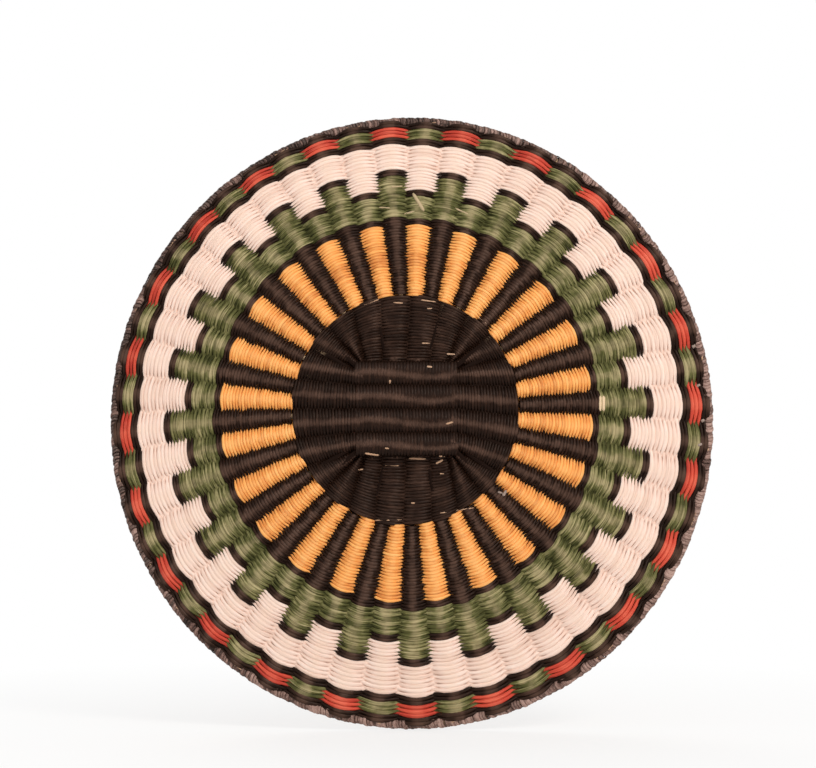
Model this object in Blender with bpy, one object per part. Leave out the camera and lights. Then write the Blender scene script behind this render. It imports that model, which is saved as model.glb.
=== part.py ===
"""Round wicker plaque in plain weave, hung or held upright with its face towards -Y.

Twenty-four willow rods run right across the plaque. Twelve lie side by side in the front mat and twelve,
square to them, in the back mat. Each mat is bound into four bundles. Past the mats the rods fan out into
forty-eight spokes, and dyed weft goes over and under them in rings out to the wrapped rim.

Each weft course here stands for a packed band of rows of one colour. Over a spoke it is as wide as its band.
Between two spokes it is pinched and thinned, to share the crossing with the course that runs the other way.
Its section is flat behind. Most courses have one ridge along their face, and the two wide white ones have a
flat face between two shoulders.
"""

import math

import bmesh
import bpy
from mathutils import Vector

# Rods and weft, all lengths in metres
ROD_RADIUS = 0.0013
ROD_GAP = 0.0010
WEFT_THICKNESS = 0.0016
CROSSING_THICKNESS_SHARE = 0.25
CLEARANCE = 0.0003
ROW_BOW = 0.0016
RING_LIFT_SHARE = 1.083
RIDGE_SHARES = (0.5,)
SHOULDER_SHARES = (0.18, 0.82)

# Crossed mats in the middle
BUNDLES_PER_MAT = 4
RODS_PER_BUNDLE = 3
RODS_PER_RIB = 2
BUNDLE_WALL = 0.0016
BINDING_THICKNESS = 0.0014
CROWN_FLAT = 0.0030
VALLEY_SHARE = 0.35
MAT_LEAD = 0.0014
BINDING_SETBACK = 0.0010
MAT_SHIFT_X = -0.0028
MAT_SHIFT_Z = 0.0074
CENTRE_WEFT_START_SHARE = 0.05
CENTRE_WEFT_END_SHARE = 0.96

# Widths of the coloured bands, from the dark centre out to the rim
CENTRE_RADIUS = 0.0573
STRIPE_LENGTH = 0.0370
LINE_WIDTH = 0.0030
GREEN_WIDTH = 0.0122
STEP_LINE_WIDTH = 0.0032
STEP_HEIGHT = 0.0068
WHITE_WIDTH = 0.0141
BORDER_LINE_WIDTH = 0.0035
DASH_WIDTH = 0.0057
EDGE_LINE_WIDTH = 0.0022
FLAT_FACED_COURSES = ("white_even_weft", "white_odd_weft")

# Rim: bent spoke ends in a wrapped edge
RIM_LIP = 0.0005
RIM_WRAP_WALL = 0.0006
RIM_SECTIONS = 48

# The weave isn't quite round, and its rings drift up and to the left towards the centre, most of all halfway
WIDTH_SHARE = 0.992
HEIGHT_SHARE = 1.0066
DRIFT_X = -0.0033
DRIFT_Z = 0.0067
HALFWAY_DRIFT_X = -0.0008
HALFWAY_DRIFT_Z = 0.0009
FIRST_SPOKE_ANGLE = math.radians(-4.7)

# The spokes lean as they go out, towards each other in some places and apart in others
LEAN_ANGLE = math.radians(1.7)
LEAN_PEAK = math.radians(47)
RIPPLE_ANGLE = math.radians(0.66)
RIPPLE_PEAK = math.radians(-43)
RIPPLES_ROUND = 3
LEAN_START_SHARE = -0.3

# Sizes that follow from those above
RODS_PER_MAT = BUNDLES_PER_MAT * RODS_PER_BUNDLE
SPOKES = 4 * RODS_PER_MAT
SPOKE_STEP = 2 * math.pi / SPOKES
ROD_PITCH = 2 * ROD_RADIUS + ROD_GAP
SLOT_HALF_WIDTH = (RODS_PER_BUNDLE - 1) / 2 * ROD_PITCH + ROD_RADIUS + CLEARANCE
SLOT_HALF_DEPTH = ROD_RADIUS + CLEARANCE
BUNDLE_PITCH = 2 * SLOT_HALF_WIDTH + BUNDLE_WALL
MAT_HALF_WIDTH = BUNDLES_PER_MAT / 2 * BUNDLE_PITCH
MAT_HALF_DEPTH = SLOT_HALF_DEPTH + BINDING_THICKNESS
MAT_DEPTH_OFFSET = MAT_HALF_DEPTH + CLEARANCE / 2
MAT_EXIT = MAT_HALF_WIDTH + MAT_LEAD
WEFT_LIFT = ROD_RADIUS + CLEARANCE + WEFT_THICKNESS / 2
RING_LIFT = WEFT_LIFT * RING_LIFT_SHARE
CENTRE_WEFT_MIDDLE_SHARE = (CENTRE_WEFT_START_SHARE + CENTRE_WEFT_END_SHARE) / 2

STRIPE_END = CENTRE_RADIUS + STRIPE_LENGTH
LINE_END = STRIPE_END + LINE_WIDTH
GREEN_END = LINE_END + GREEN_WIDTH
LOW_STEP_END = GREEN_END + STEP_LINE_WIDTH
HIGH_STEP_START = LOW_STEP_END + STEP_HEIGHT
HIGH_STEP_END = HIGH_STEP_START + STEP_LINE_WIDTH
WHITE_END = HIGH_STEP_END + WHITE_WIDTH
BORDER_END = WHITE_END + BORDER_LINE_WIDTH
DASH_END = BORDER_END + DASH_WIDTH
EDGE_LINE_END = DASH_END + EDGE_LINE_WIDTH

RIM_ARC = math.radians(60)
RIM_CHANNEL_RADIUS = SLOT_HALF_DEPTH / math.sin(RIM_ARC)
RIM_OUTER_RADIUS = RIM_CHANNEL_RADIUS + RIM_WRAP_WALL
RIM_LIP_RADIUS = EDGE_LINE_END + ROW_BOW / 2 + CLEARANCE
RIM_CORE_RADIUS = RIM_LIP_RADIUS + RIM_LIP
RIM_RADIUS = RIM_CORE_RADIUS + RIM_OUTER_RADIUS
SPOKE_END = RIM_CORE_RADIUS - ROD_RADIUS - CLEARANCE

# The origin is on the flat back of a rear bundle, so the plaque's centre lies this far from it
CENTRE_X = -(MAT_SHIFT_X + BUNDLE_PITCH / 2)
CENTRE_Y = -(MAT_DEPTH_OFFSET + MAT_HALF_DEPTH)

COLLECTION_NAME = "wicker_plaque"
PEELED_WILLOW = (0.50, 0.34, 0.20, 1.0)
BLACK = (0.022, 0.013, 0.011, 1.0)
ORANGE = (1.0, 0.38, 0.09, 1.0)
GREEN = (0.15, 0.22, 0.08, 1.0)
WHITE = (0.95, 0.72, 0.62, 1.0)
RED = (0.68, 0.08, 0.03, 1.0)
BROWN = (0.13, 0.07, 0.05, 1.0)

FRONT = -1
BACK = 1


def clear_scene():
    """Remove every object that is already in the file."""
    for old in list(bpy.data.objects):
        bpy.data.objects.remove(old, do_unlink=True)


def make_collection(name):
    """Return a new collection linked to the scene."""
    collection = bpy.data.collections.new(name)
    bpy.context.scene.collection.children.link(collection)
    return collection


def make_material(name, colour, roughness):
    """Return a Principled material of one colour."""
    material = bpy.data.materials.new(name)
    material.use_nodes = True
    shader = material.node_tree.nodes["Principled BSDF"]
    shader.inputs["Base Color"].default_value = colour
    shader.inputs["Roughness"].default_value = roughness
    shader.inputs["Metallic"].default_value = 0.0
    return material


def add_piece(name, data, colour, collection, parent, roughness=0.6):
    """Add one named piece under the plaque's centre, with its own material."""
    piece = bpy.data.objects.new(name, data)
    data.materials.append(make_material(name + "_finish", colour, roughness))
    collection.objects.link(piece)
    piece.parent = parent
    return piece


def spoke_angle(index):
    """Return the angle of a spoke, counted anticlockwise as seen from the front."""
    return FIRST_SPOKE_ANGLE + index * SPOKE_STEP


def full_lean(angle):
    """Return how far a spoke has leant to one side by the time it reaches the rim."""
    sway = LEAN_ANGLE * math.cos(angle - LEAN_PEAK)
    ripple = RIPPLE_ANGLE * math.cos(RIPPLES_ROUND * (angle - RIPPLE_PEAK))
    return sway + ripple


def place(radius, angle, depth):
    """Return the point at a ring's radius and angle, with the weave's drift, its lean and its slight oval."""
    inward = (RIM_RADIUS - radius) / (RIM_RADIUS - CENTRE_RADIUS)
    lean_share = 1 - (1 - LEAN_START_SHARE) * inward * CENTRE_RADIUS / radius
    leant = angle + full_lean(angle) * lean_share
    halfway = 4 * inward * (1 - inward)
    return Vector((
        DRIFT_X * inward + HALFWAY_DRIFT_X * halfway + radius * math.cos(leant) * WIDTH_SHARE,
        depth,
        DRIFT_Z * inward + HALFWAY_DRIFT_Z * halfway + radius * math.sin(leant) * HEIGHT_SHARE,
    ))


def rod_offset(rod):
    """Return how far a mat's rod lies from the mat's middle line, first rod furthest out."""
    bundle, place_in_bundle = divmod(rod, RODS_PER_BUNDLE)
    from_middle = (BUNDLES_PER_MAT - 1) / 2 - bundle
    from_bundle = (RODS_PER_BUNDLE - 1) / 2 - place_in_bundle
    return from_middle * BUNDLE_PITCH + from_bundle * ROD_PITCH


def front_exit(rod, side):
    """Return where a front rod leaves its mat, on the right (1) or the left (-1)."""
    return Vector((MAT_SHIFT_X + side * MAT_EXIT, -MAT_DEPTH_OFFSET, MAT_SHIFT_Z + rod_offset(rod)))


def back_exit(rod, side):
    """Return where a back rod leaves its mat, at the top (1) or the bottom (-1)."""
    return Vector((MAT_SHIFT_X - rod_offset(rod), MAT_DEPTH_OFFSET, MAT_SHIFT_Z + side * MAT_EXIT))


def front_spokes(rod):
    """Return the spokes at the left and the right end of a front rod."""
    half = RODS_PER_MAT // 2
    return RODS_PER_MAT + half + 1 + rod, half - rod


def back_spokes(rod):
    """Return the spokes at the top and the bottom end of a back rod."""
    half = RODS_PER_MAT // 2
    return RODS_PER_MAT + half - rod, 2 * RODS_PER_MAT + half + 1 + rod


def spoke_exit(spoke):
    """Return the point where a spoke leaves its mat."""
    half = RODS_PER_MAT // 2
    quarter, step = divmod((spoke + half - 1) % SPOKES, RODS_PER_MAT)
    if quarter == 0:
        return front_exit(RODS_PER_MAT - 1 - step, 1)
    if quarter == 1:
        return back_exit(RODS_PER_MAT - 1 - step, 1)
    if quarter == 2:
        return front_exit(step, -1)
    return back_exit(step, -1)


def fan_point(spoke, share):
    """Return the point at a share of a spoke's way from its mat to the ring weave."""
    return spoke_exit(spoke).lerp(place(CENTRE_RADIUS, spoke_angle(spoke), 0.0), share)


def rod_curve(name, points):
    """Return a round rod along the given points, with closed ends."""
    curve = bpy.data.curves.new(name, "CURVE")
    curve.dimensions = "3D"
    curve.bevel_depth = ROD_RADIUS
    curve.bevel_resolution = 1
    curve.use_fill_caps = True
    spline = curve.splines.new("POLY")
    spline.points.add(len(points) - 1)
    for target, point in zip(spline.points, points):
        target.co = (*point, 1.0)
    return curve


def add_rods(collection, parent):
    """Add the front mat's twelve rods and the back mat's twelve rods."""
    for rod in range(RODS_PER_MAT):
        left, right = front_spokes(rod)
        front_points = [
            place(SPOKE_END, spoke_angle(left), 0.0),
            place(CENTRE_RADIUS, spoke_angle(left), 0.0),
            front_exit(rod, -1),
            front_exit(rod, 1),
            place(CENTRE_RADIUS, spoke_angle(right), 0.0),
            place(SPOKE_END, spoke_angle(right), 0.0),
        ]
        name = f"front_rod_{rod + 1:02d}"
        add_piece(name, rod_curve(name, front_points), PEELED_WILLOW, collection, parent)
        top, bottom = back_spokes(rod)
        back_points = [
            place(SPOKE_END, spoke_angle(top), 0.0),
            place(CENTRE_RADIUS, spoke_angle(top), 0.0),
            back_exit(rod, 1),
            back_exit(rod, -1),
            place(CENTRE_RADIUS, spoke_angle(bottom), 0.0),
            place(SPOKE_END, spoke_angle(bottom), 0.0),
        ]
        name = f"back_rod_{rod + 1:02d}"
        add_piece(name, rod_curve(name, back_points), PEELED_WILLOW, collection, parent)


def hump_profile(side):
    """Return a bound bundle's rounded outline on one side, from its left valley to its crown's end."""
    half_pitch = BUNDLE_PITCH / 2
    half_flat = CROWN_FLAT / 2
    valley = MAT_HALF_DEPTH * VALLEY_SHARE
    rise = MAT_HALF_DEPTH - valley
    slopes = 3
    left = []
    for step in range(slopes + 1):
        turn = math.pi / 2 * step / slopes
        across = half_flat + (half_pitch - half_flat) * math.cos(turn)
        left.append((-across, side * (valley + rise * math.sin(turn))))
    right = [(-across, depth) for across, depth in reversed(left[1:])]
    return left + right


def add_outline(curve, points):
    """Add a closed straight-sided outline to a flat curve."""
    spline = curve.splines.new("POLY")
    spline.points.add(len(points) - 1)
    for target, (across, depth) in zip(spline.points, points):
        target.co = (across, depth, 0.0, 1.0)
    spline.use_cyclic_u = True


def mat_binding(name):
    """Return the black weft that binds a mat: four rounded ridges, each with a slot for its rods."""
    curve = bpy.data.curves.new(name, "CURVE")
    curve.dimensions = "2D"
    curve.fill_mode = "BOTH"
    curve.extrude = MAT_HALF_WIDTH + MAT_LEAD - BINDING_SETBACK
    middles = [(index - (BUNDLES_PER_MAT - 1) / 2) * BUNDLE_PITCH for index in range(BUNDLES_PER_MAT)]
    front = [(middle + across, depth) for middle in middles for across, depth in hump_profile(FRONT)]
    back = [(middle + across, depth) for middle in middles for across, depth in hump_profile(BACK)]
    end = (middles[-1] + BUNDLE_PITCH / 2, MAT_HALF_DEPTH * VALLEY_SHARE)
    outline = front + [(end[0], -end[1]), end] + list(reversed(back))
    add_outline(curve, outline)
    corner = SLOT_HALF_DEPTH / 2
    for middle in middles:
        slot = [
            (-SLOT_HALF_WIDTH, -corner),
            (-SLOT_HALF_WIDTH + corner, -SLOT_HALF_DEPTH),
            (SLOT_HALF_WIDTH - corner, -SLOT_HALF_DEPTH),
            (SLOT_HALF_WIDTH, -corner),
            (SLOT_HALF_WIDTH, corner),
            (SLOT_HALF_WIDTH - corner, SLOT_HALF_DEPTH),
            (-SLOT_HALF_WIDTH + corner, SLOT_HALF_DEPTH),
            (-SLOT_HALF_WIDTH, corner),
        ]
        add_outline(curve, [(middle + across, depth) for across, depth in slot])
    return curve


def add_mats(collection, parent):
    """Add the bindings of the front mat, lying level, and of the back mat, standing upright."""
    front = add_piece("front_mat_binding", mat_binding("front_mat_binding"), BLACK, collection, parent)
    front.location = (MAT_SHIFT_X, -MAT_DEPTH_OFFSET, MAT_SHIFT_Z)
    front.rotation_euler = (0.0, math.pi / 2, 0.0)
    back = add_piece("back_mat_binding", mat_binding("back_mat_binding"), BLACK, collection, parent)
    back.location = (MAT_SHIFT_X, MAT_DEPTH_OFFSET, MAT_SHIFT_Z)


def loft_ring(name, sections):
    """Return a closed ring through cross-sections that differ in shape from one to the next."""
    ring = bmesh.new()
    loops = [[ring.verts.new(point) for point in section] for section in sections]
    for here, ahead in zip(loops, loops[1:] + loops[:1]):
        for index in range(len(here)):
            beside = (index + 1) % len(here)
            ring.faces.new((here[index], here[beside], ahead[beside], ahead[index]))
    bmesh.ops.recalc_face_normals(ring, faces=ring.faces)
    mesh = bpy.data.meshes.new(name)
    ring.to_mesh(mesh)
    ring.free()
    return mesh


def course_section(inner, ridges, outer, at_crossing):
    """Return a low section across a weft course: two edges behind, and one or two ridges in front of them."""
    thickness = WEFT_THICKNESS * (CROSSING_THICKNESS_SHARE if at_crossing else 1)
    half_depth = Vector((0.0, thickness / 2, 0.0))
    return [inner + half_depth] + [ridge - half_depth for ridge in ridges] + [outer + half_depth]


def bowed(radius, over_spoke):
    """Return a radius pushed out over a spoke and drawn in between spokes."""
    push = 0.5 if over_spoke else -0.5
    return radius + ROW_BOW * radius / RIM_RADIUS * push


def ring_section(radii, ridge_shares, angle, depth, over_spoke):
    """Return a course's section between two radii at one angle, with its ridges at shares of its width."""
    low, high = radii
    inner = bowed(low + CLEARANCE / 2, over_spoke)
    outer = bowed(high - CLEARANCE / 2, over_spoke)
    inner_edge = place(inner, angle, depth)
    outer_edge = place(outer, angle, depth)
    ridges = [place(inner + (outer - inner) * share, angle, depth) for share in ridge_shares]
    return course_section(inner_edge, ridges, outer_edge, at_crossing=not over_spoke)


def ring_course(name, band, crossing, first_over, ridge_shares):
    """Return a weft ring that goes over every other spoke, wide in its band and pinched where it crosses."""
    sections = []
    for spoke in range(SPOKES):
        side = FRONT if spoke % 2 == first_over else BACK
        sections.append(ring_section(band, ridge_shares, spoke_angle(spoke), side * RING_LIFT, True))
        sections.append(ring_section(crossing, ridge_shares, spoke_angle(spoke + 0.5), 0.0, False))
    return loft_ring(name, sections)


def halves(low, high):
    """Return the inner and the outer half of a crossing."""
    middle = (low + high) / 2
    return (low, middle), (middle, high)


def add_rings(collection, parent):
    """Add the coloured courses: those over the even spokes, then those over the odd ones."""
    stripe_inner, stripe_outer = halves(CENTRE_RADIUS, STRIPE_END)
    line_inner, line_outer = halves(STRIPE_END, LINE_END)
    green_inner, green_outer = halves(LINE_END, GREEN_END)
    low_inner, low_outer = halves(GREEN_END, LOW_STEP_END)
    step_inner, step_outer = halves(LOW_STEP_END, HIGH_STEP_START)
    high_inner, high_outer = halves(HIGH_STEP_START, HIGH_STEP_END)
    white_inner, white_outer = halves(HIGH_STEP_END, WHITE_END)
    border_inner, border_outer = halves(WHITE_END, BORDER_END)
    dash_inner, dash_outer = halves(BORDER_END, DASH_END)
    edge_inner, edge_outer = halves(DASH_END, EDGE_LINE_END)
    even, odd = 0, 1
    courses = [
        ("orange_stripe_weft", (CENTRE_RADIUS, STRIPE_END), stripe_inner, even, ORANGE),
        ("black_stripe_weft", (CENTRE_RADIUS, LINE_END), (stripe_outer[0], line_inner[1]), odd, BLACK),
        ("black_line_weft", (STRIPE_END, LINE_END), line_outer, even, BLACK),
        ("green_field_weft", (LINE_END, GREEN_END), green_inner, even, GREEN),
        ("green_step_foot_weft", (LINE_END, LOW_STEP_END), (green_outer[0], low_inner[1]), odd, GREEN),
        ("low_step_line_weft", (GREEN_END, LOW_STEP_END), low_outer, even, BLACK),
        ("white_notch_weft", (LOW_STEP_END, HIGH_STEP_START), step_inner, even, WHITE),
        ("green_step_weft", (LOW_STEP_END, HIGH_STEP_START), step_outer, odd, GREEN),
        ("high_step_line_weft", (HIGH_STEP_START, HIGH_STEP_END), high_inner, odd, BLACK),
        ("white_even_weft", (HIGH_STEP_START, WHITE_END), (high_outer[0], white_inner[1]), even, WHITE),
        ("white_odd_weft", (HIGH_STEP_END, WHITE_END), white_outer, odd, WHITE),
        ("border_line_even_weft", (WHITE_END, BORDER_END), border_inner, even, BLACK),
        ("border_line_odd_weft", (WHITE_END, BORDER_END), border_outer, odd, BLACK),
        ("green_dash_weft", (BORDER_END, DASH_END), dash_inner, even, GREEN),
        ("red_dash_weft", (BORDER_END, DASH_END), dash_outer, odd, RED),
        ("edge_line_even_weft", (DASH_END, EDGE_LINE_END), edge_inner, even, BLACK),
        ("edge_line_odd_weft", (DASH_END, EDGE_LINE_END), edge_outer, odd, BLACK),
    ]
    for name, band, crossing, first_over, colour in courses:
        ridge_shares = SHOULDER_SHARES if name in FLAT_FACED_COURSES else RIDGE_SHARES
        ring = ring_course(name, band, crossing, first_over, ridge_shares)
        add_piece(name, ring, colour, collection, parent)


def rib_edge(spoke, neighbour, share):
    """Return the outer side of a rib's end rod, away from the neighbour beside it."""
    rod = fan_point(spoke, share)
    away = rod - fan_point(neighbour, share)
    away.y = 0.0
    return rod + away.normalized() * ROD_RADIUS


def rib_section(spoke, neighbour, depth):
    """Return a centre course's section beside one end rod of a rib."""
    lift = Vector((0.0, depth, 0.0))
    shares = (CENTRE_WEFT_START_SHARE, CENTRE_WEFT_MIDDLE_SHARE, CENTRE_WEFT_END_SHARE)
    inner, middle, outer = [rib_edge(spoke, neighbour, share) + lift for share in shares]
    return course_section(inner, [middle], outer, at_crossing=False)


def between_ribs(last, following, share):
    """Return the point halfway between two ribs, at a share of the way out from the mats."""
    here = rib_edge(last, last - 1, share)
    ahead = rib_edge(following, following + 1, share)
    return (here + ahead) / 2


def centre_course(name, crossing_shares, first_over):
    """Return a weft ring over and under the ribs of paired rods, between the mats and the ring weave."""
    start, stop = crossing_shares
    sections = []
    for rib in range(SPOKES // RODS_PER_RIB):
        first = rib * RODS_PER_RIB + 1
        last = first + RODS_PER_RIB - 1
        side = FRONT if rib % 2 == first_over else BACK
        sections.append(rib_section(first, first + 1, side * WEFT_LIFT))
        sections.append(rib_section(last, last - 1, side * WEFT_LIFT))
        shares = (start, (start + stop) / 2, stop)
        inner, middle, outer = [between_ribs(last, last + 1, share) for share in shares]
        sections.append(course_section(inner, [middle], outer, at_crossing=True))
    return loft_ring(name, sections)


def add_centre_courses(collection, parent):
    """Add the two dark courses over the twenty-four ribs where the rods fan out."""
    half_gap = CLEARANCE / (CENTRE_RADIUS - MAT_EXIT)
    inner = (CENTRE_WEFT_START_SHARE, CENTRE_WEFT_MIDDLE_SHARE - half_gap)
    outer = (CENTRE_WEFT_MIDDLE_SHARE + half_gap, CENTRE_WEFT_END_SHARE)
    add_piece("centre_weft_inner", centre_course("centre_weft_inner", inner, 0), BLACK, collection, parent)
    add_piece("centre_weft_outer", centre_course("centre_weft_outer", outer, 1), BLACK, collection, parent)


def rim_ring(name, profile):
    """Return a ring round the rim through a profile of radius and depth pairs."""
    sections = []
    for index in range(RIM_SECTIONS):
        angle = spoke_angle(index)
        sections.append([place(radius, angle, depth) for radius, depth in profile])
    return loft_ring(name, sections)


def add_rim(collection, parent):
    """Add the ring of bent spoke ends and the strip wrapping that holds it to the spokes."""
    core = []
    sides = 6
    for index in range(sides):
        turn = 2 * math.pi * index / sides
        core.append((RIM_CORE_RADIUS + ROD_RADIUS * math.cos(turn), ROD_RADIUS * math.sin(turn)))
    add_piece("rim_bundle", rim_ring("rim_bundle", core), PEELED_WILLOW, collection, parent)
    wrap = []
    for radius, turns in ((RIM_OUTER_RADIUS, (-1, 0, 1)), (RIM_CHANNEL_RADIUS, (1, 0, -1))):
        arc = []
        for turn in turns:
            angle = turn * RIM_ARC
            arc.append((RIM_CORE_RADIUS + radius * math.cos(angle), radius * math.sin(angle)))
        wrap += [(RIM_LIP_RADIUS, arc[0][1])] + arc + [(RIM_LIP_RADIUS, arc[-1][1])]
    add_piece("rim_wrap", rim_ring("rim_wrap", wrap), BROWN, collection, parent)


def main():
    """Build the plaque, with its origin on the flat back of a rear bundle."""
    clear_scene()
    collection = make_collection(COLLECTION_NAME)
    centre = bpy.data.objects.new("plaque_centre", None)
    centre.location = (CENTRE_X, CENTRE_Y, 0.0)
    collection.objects.link(centre)
    add_rods(collection, centre)
    add_mats(collection, centre)
    add_centre_courses(collection, centre)
    add_rings(collection, centre)
    add_rim(collection, centre)


main()
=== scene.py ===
"""Round wicker plaque: its woven rows, mats and rim in full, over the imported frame.

The plaque stands upright with its face towards -Y. Every weft row is made as a closed strand of its own, over
one spoke and under the next. Node trees make the rows, the mats' binding and the rim's wrapping from named
sizes, and the results are plain meshes. All lengths are in metres.
"""

from __future__ import annotations

import logging
import math
from collections.abc import Callable
from dataclasses import dataclass, replace
from enum import Enum

import bmesh
import bpy
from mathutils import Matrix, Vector

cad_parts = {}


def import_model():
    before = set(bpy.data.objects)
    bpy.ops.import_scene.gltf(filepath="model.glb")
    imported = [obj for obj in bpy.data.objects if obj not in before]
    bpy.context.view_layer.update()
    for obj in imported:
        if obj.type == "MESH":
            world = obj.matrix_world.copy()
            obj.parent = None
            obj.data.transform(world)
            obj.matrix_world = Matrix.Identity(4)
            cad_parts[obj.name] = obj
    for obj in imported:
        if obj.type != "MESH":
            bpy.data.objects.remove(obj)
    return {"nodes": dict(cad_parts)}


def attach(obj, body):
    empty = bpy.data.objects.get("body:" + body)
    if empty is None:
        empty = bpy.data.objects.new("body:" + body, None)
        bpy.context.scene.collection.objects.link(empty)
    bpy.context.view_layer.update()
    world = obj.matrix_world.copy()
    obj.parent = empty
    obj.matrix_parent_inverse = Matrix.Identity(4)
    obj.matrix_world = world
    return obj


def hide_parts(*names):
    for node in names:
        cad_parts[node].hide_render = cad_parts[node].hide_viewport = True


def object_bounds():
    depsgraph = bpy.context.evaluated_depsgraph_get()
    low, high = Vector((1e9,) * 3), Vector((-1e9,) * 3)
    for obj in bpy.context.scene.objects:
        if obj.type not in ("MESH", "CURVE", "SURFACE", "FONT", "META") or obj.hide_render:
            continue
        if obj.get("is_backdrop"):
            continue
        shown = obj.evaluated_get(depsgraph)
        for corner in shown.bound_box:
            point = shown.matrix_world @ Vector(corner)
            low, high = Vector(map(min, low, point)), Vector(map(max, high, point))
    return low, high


LOG = logging.getLogger("wicker_plaque")
Colour = tuple[float, float, float]


class Spokes(Enum):
    """Which spokes a row passes in front of."""

    EVEN = 0
    ODD = 1


class Ring(Enum):
    """The rings of the pattern from the inside out, as outer radius and number of rows."""

    STRIPES = (0.0943, 24)
    LINE = (0.0973, 2)
    FIELD = (0.1095, 6)
    LOW_STEP = (0.1127, 2)
    STEP = (0.1195, 4)
    HIGH_STEP = (0.1227, 2)
    WHITE = (0.1368, 7)
    BORDER = (0.1403, 2)
    DASHES = (0.1460, 3)
    EDGE = (0.1497, 2)

    @property
    def outer(self) -> float:
        """Return the ring's outer radius."""
        return self.value[0]

    @property
    def rows(self) -> int:
        """Return how many rows the ring has over each set of spokes."""
        return self.value[1]


def maths(operation: str, swapped: bool = False) -> Callable[..., Field]:
    """Make a method that adds one Math node.

    Args:
        operation: the node's operation.
        swapped: whether the field itself is the last input.

    Returns:
        The method.
    """

    def method(field: Field, *others: Value) -> Field:
        """Return the operation's result."""
        return compute(operation, *((*others, field) if swapped else (field, *others)))

    return method


class Field:
    """A value in a node tree that takes part in ordinary arithmetic."""

    __add__, __radd__ = maths("ADD"), maths("ADD", swapped=True)
    __sub__, __rsub__ = maths("SUBTRACT"), maths("SUBTRACT", swapped=True)
    __mul__, __rmul__ = maths("MULTIPLY"), maths("MULTIPLY", swapped=True)
    __truediv__, __rtruediv__ = maths("DIVIDE"), maths("DIVIDE", swapped=True)
    __pow__, __mod__, __abs__ = maths("POWER"), maths("FLOORED_MODULO"), maths("ABSOLUTE")
    cos, sin, arcsin, floor = maths("COSINE"), maths("SINE"), maths("ARCSINE"), maths("FLOOR")

    def __init__(self, tree: bpy.types.NodeTree, socket: bpy.types.NodeSocket) -> None:
        """Hold the tree and the socket that gives the value."""
        self.tree = tree
        self.socket = socket

    def clamp(self, low: Value, high: Value) -> Field:
        """Return the value kept between two others."""
        return compute("MINIMUM", compute("MAXIMUM", self, low), high)

    def squared_off(self, softness: float) -> Field:
        """Return a wave from -1 to 1 with flatter tops.

        Args:
            softness: how much of the wave's own roundness stays, from 0 up.

        Returns:
            The flattened wave.
        """
        scale = math.sqrt(1 + softness**2)
        return scale * self / (self * self + softness**2) ** 0.5


Value = Field | float | int


def connect(value: Value, target: bpy.types.NodeSocket) -> None:
    """Feed a field or a plain number to a socket.

    Args:
        value: what the socket gets.
        target: the socket.
    """
    if isinstance(value, Field):
        value.tree.links.new(value.socket, target)
    else:
        target.default_value = value


def fed_node(kind: str, values: tuple[Value, ...]) -> bpy.types.Node:
    """Add a node and feed its inputs.

    Args:
        kind: the node's type.
        values: its inputs in order, of which one at least is a field.

    Returns:
        The node.
    """
    tree = next(value.tree for value in values if isinstance(value, Field))
    node = tree.nodes.new(kind)
    for value, target in zip(values, node.inputs):
        connect(value, target)
    return node


def compute(operation: str, *values: Value) -> Field:
    """Return the result of one Math node.

    Args:
        operation: the node's operation.
        values: its inputs in order, of which one at least is a field.

    Returns:
        The result.
    """
    node = fed_node("ShaderNodeMath", values)
    node.operation = operation
    return Field(node.id_data, node.outputs[0])


def combine(*parts: Value) -> Field:
    """Return a vector of three coordinates."""
    node = fed_node("ShaderNodeCombineXYZ", parts)
    return Field(node.id_data, node.outputs[0])


def noise(vector: Field, strand: Value, scale: float, detail: float) -> Field:
    """Return smooth noise from 0 to 1.

    Args:
        vector: where the noise is read.
        strand: the fourth coordinate, which parts one row from the next.
        scale: how fine the noise is.
        detail: how many finer layers it has.

    Returns:
        The noise.
    """
    node = vector.tree.nodes.new("ShaderNodeTexNoise")
    node.noise_dimensions = "4D"
    for name, value in (("Vector", vector), ("W", strand), ("Scale", scale), ("Detail", detail)):
        connect(value, node.inputs[name])
    return Field(vector.tree, node.outputs[0])


@dataclass(frozen=True)
class Strand:
    """A point's place on its strand: the turn along it, the turn round its section, and its number."""

    along: Field
    around: Field
    number: Field

    def uneven(self, swings: float) -> Field:
        """Return slow unevenness along the strand, from -0.5 to 0.5.

        Args:
            swings: how quickly it changes round the plaque.

        Returns:
            The unevenness.
        """
        strand_gap = 5.9
        path = combine(self.along.cos() * swings, self.along.sin() * swings, 0.0)
        return noise(path, self.number * strand_gap + swings, scale=1.0, detail=1.0) - 0.5


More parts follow.
